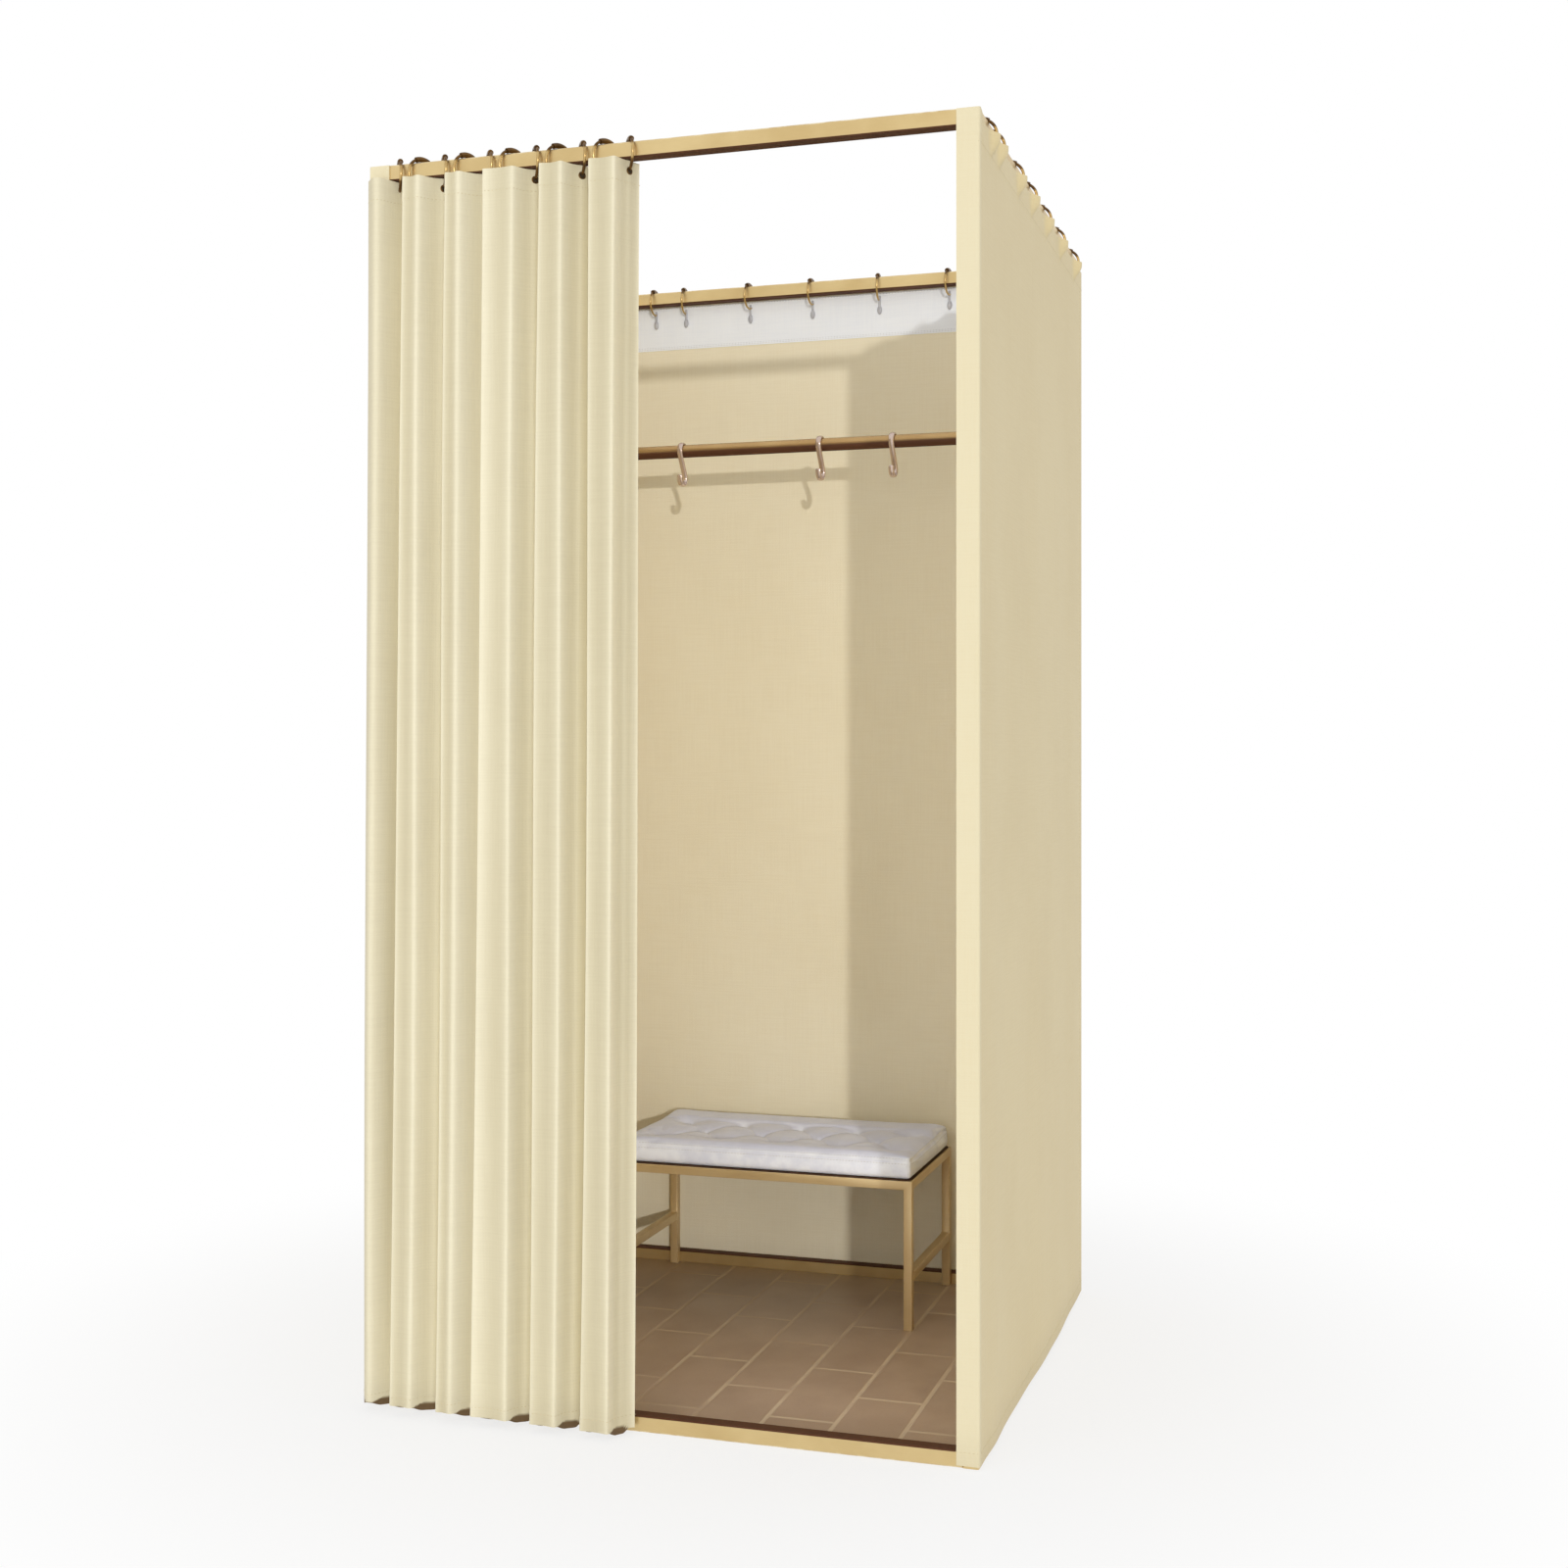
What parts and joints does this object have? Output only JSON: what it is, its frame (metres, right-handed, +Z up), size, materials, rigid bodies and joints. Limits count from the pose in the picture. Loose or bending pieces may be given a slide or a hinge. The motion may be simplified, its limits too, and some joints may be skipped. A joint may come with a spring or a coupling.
{
  "type": "portable fitting room",
  "caption": "Free-standing square-tube changing booth with ring-hung curtains, a curtained doorway, a hanging bar with hooks, a cushioned bench and a floor mat.",
  "frame": {"origin": "middle of the floor mat, on the floor", "axes": "+Z up, -Y out through the doorway, +X to the right of somebody facing the doorway from outside"},
  "size_m": [1.026, 1.0714, 2.0094],
  "materials": {
    "frame_gold": "satin pale gold",
    "bar_gold": "satin gold",
    "bench_gold": "satin gold",
    "ring_bronze": "dark bronze plating",
    "hook_metal": "polished, slightly rose",
    "door_cloth": "matt woven cloth",
    "wall_cloth": "matt woven cloth",
    "cushion_cloth": "soft velvet",
    "mat_vinyl": "embossed, matt"
  },
  "bodies": {
    "booth": {"bar_arm_left": "bar_gold", "bar_arm_right": "bar_gold", "bottom_rail_front": "frame_gold", "bottom_rail_left": "frame_gold", "bottom_rail_rear": "frame_gold", "bottom_rail_right": "frame_gold", "floor_mat": "mat_vinyl", "hanging_bar": "bar_gold", "post_front_left": "frame_gold", "post_front_right": "frame_gold", "post_rear_left": "frame_gold", "post_rear_right": "frame_gold", "rear_curtain": "wall_cloth", "rear_ring_1": "ring_bronze", "rear_ring_2": "ring_bronze", "rear_ring_3": "ring_bronze", "rear_ring_4": "ring_bronze", "rear_ring_5": "ring_bronze", "rear_ring_6": "ring_bronze", "rear_ring_7": "ring_bronze", "side_curtain_left": "wall_cloth", "side_curtain_right": "wall_cloth", "side_ring_1": "ring_bronze", "side_ring_2": "ring_bronze", "side_ring_3": "ring_bronze", "side_ring_4": "ring_bronze", "side_ring_5": "ring_bronze", "side_ring_6": "ring_bronze", "side_ring_7": "ring_bronze", "top_rail_front": "frame_gold", "top_rail_left": "frame_gold", "top_rail_rear": "frame_gold", "top_rail_right": "frame_gold", "front_ring_00": "ring_bronze"},
    "curtain_fold_00": {"front_panel_00": "door_cloth"},
    "curtain_fold_01": {"front_panel_01": "door_cloth", "front_ring_01": "ring_bronze"},
    "curtain_fold_02": {"front_panel_02": "door_cloth", "front_ring_02": "ring_bronze"},
    "curtain_fold_03": {"front_panel_03": "door_cloth", "front_ring_03": "ring_bronze"},
    "curtain_fold_04": {"front_panel_04": "door_cloth", "front_ring_04": "ring_bronze"},
    "curtain_fold_05": {"front_panel_05": "door_cloth", "front_ring_05": "ring_bronze"},
    "curtain_fold_06": {"front_panel_06": "door_cloth", "front_ring_06": "ring_bronze"},
    "curtain_fold_07": {"front_panel_07": "door_cloth", "front_ring_07": "ring_bronze"},
    "curtain_fold_08": {"front_panel_08": "door_cloth", "front_ring_08": "ring_bronze"},
    "curtain_fold_09": {"front_panel_09": "door_cloth", "front_ring_09": "ring_bronze"},
    "curtain_fold_10": {"front_panel_10": "door_cloth", "front_ring_10": "ring_bronze"},
    "hook_1": {"s_hook_1": "hook_metal"},
    "hook_2": {"s_hook_2": "hook_metal"},
    "hook_3": {"s_hook_3": "hook_metal"},
    "bench": {"bench_frame": "bench_gold", "bench_cushion": "cushion_cloth"}
  },
  "joints": [
    {"name": "curtain_draw", "type": "hinge", "parent": "booth", "child": "curtain_fold_00", "pos_m": [-0.455, -0.475, 1.9875], "axis": [0, -0.0279, -0.9996], "range_deg": [0, 53]},
    {"name": "curtain_fold_open_01", "type": "hinge", "parent": "curtain_fold_00", "child": "curtain_fold_01", "pos_m": [-0.435, -0.43427, 1.98636], "axis": [0, 0.0279, 0.9996], "range_deg": [0, 106]},
    {"name": "curtain_fold_open_02", "type": "hinge", "parent": "curtain_fold_01", "child": "curtain_fold_02", "pos_m": [-0.395, -0.51573, 1.98864], "axis": [0, -0.0279, -0.9996], "range_deg": [0, 106]},
    {"name": "curtain_fold_open_03", "type": "hinge", "parent": "curtain_fold_02", "child": "curtain_fold_03", "pos_m": [-0.355, -0.43427, 1.98636], "axis": [0, 0.0279, 0.9996], "range_deg": [0, 106]},
    {"name": "curtain_fold_open_04", "type": "hinge", "parent": "curtain_fold_03", "child": "curtain_fold_04", "pos_m": [-0.315, -0.51573, 1.98864], "axis": [0, -0.0279, -0.9996], "range_deg": [0, 106]},
    {"name": "curtain_fold_open_05", "type": "hinge", "parent": "curtain_fold_04", "child": "curtain_fold_05", "pos_m": [-0.275, -0.43427, 1.98636], "axis": [0, 0.0279, 0.9996], "range_deg": [0, 106]},
    {"name": "curtain_fold_open_06", "type": "hinge", "parent": "curtain_fold_05", "child": "curtain_fold_06", "pos_m": [-0.235, -0.51573, 1.98864], "axis": [0, -0.0279, -0.9996], "range_deg": [0, 106]},
    {"name": "curtain_fold_open_07", "type": "hinge", "parent": "curtain_fold_06", "child": "curtain_fold_07", "pos_m": [-0.195, -0.43427, 1.98636], "axis": [0, 0.0279, 0.9996], "range_deg": [0, 106]},
    {"name": "curtain_fold_open_08", "type": "hinge", "parent": "curtain_fold_07", "child": "curtain_fold_08", "pos_m": [-0.155, -0.51573, 1.98864], "axis": [0, -0.0279, -0.9996], "range_deg": [0, 106]},
    {"name": "curtain_fold_open_09", "type": "hinge", "parent": "curtain_fold_08", "child": "curtain_fold_09", "pos_m": [-0.115, -0.43427, 1.98636], "axis": [0, 0.0279, 0.9996], "range_deg": [0, 106]},
    {"name": "curtain_fold_open_10", "type": "hinge", "parent": "curtain_fold_09", "child": "curtain_fold_10", "pos_m": [-0.075, -0.51573, 1.98864], "axis": [0, -0.0279, -0.9996], "range_deg": [0, 106]},
    {"name": "hook_1_slide", "type": "slide", "parent": "booth", "child": "hook_1", "axis": [1, 0, 0], "range_m": [-0.19, 0.13]},
    {"name": "hook_2_slide", "type": "slide", "parent": "booth", "child": "hook_2", "axis": [1, 0, 0], "range_m": [-0.14, 0.06]},
    {"name": "hook_3_slide", "type": "slide", "parent": "booth", "child": "hook_3", "axis": [1, 0, 0], "range_m": [-0.07, 0.27]},
    {"name": "bench_slide", "type": "slide", "parent": "booth", "child": "bench", "axis": [0, -1, 0], "range_m": [0, 0.25]}
  ],
  "couplings": [
    {"joint": "curtain_fold_open_01", "follows": "curtain_draw", "ratio": 2},
    {"joint": "curtain_fold_open_02", "follows": "curtain_draw", "ratio": 2},
    {"joint": "curtain_fold_open_03", "follows": "curtain_draw", "ratio": 2},
    {"joint": "curtain_fold_open_04", "follows": "curtain_draw", "ratio": 2},
    {"joint": "curtain_fold_open_05", "follows": "curtain_draw", "ratio": 2},
    {"joint": "curtain_fold_open_06", "follows": "curtain_draw", "ratio": 2},
    {"joint": "curtain_fold_open_07", "follows": "curtain_draw", "ratio": 2},
    {"joint": "curtain_fold_open_08", "follows": "curtain_draw", "ratio": 2},
    {"joint": "curtain_fold_open_09", "follows": "curtain_draw", "ratio": 2},
    {"joint": "curtain_fold_open_10", "follows": "curtain_draw", "ratio": 2}
  ]
}
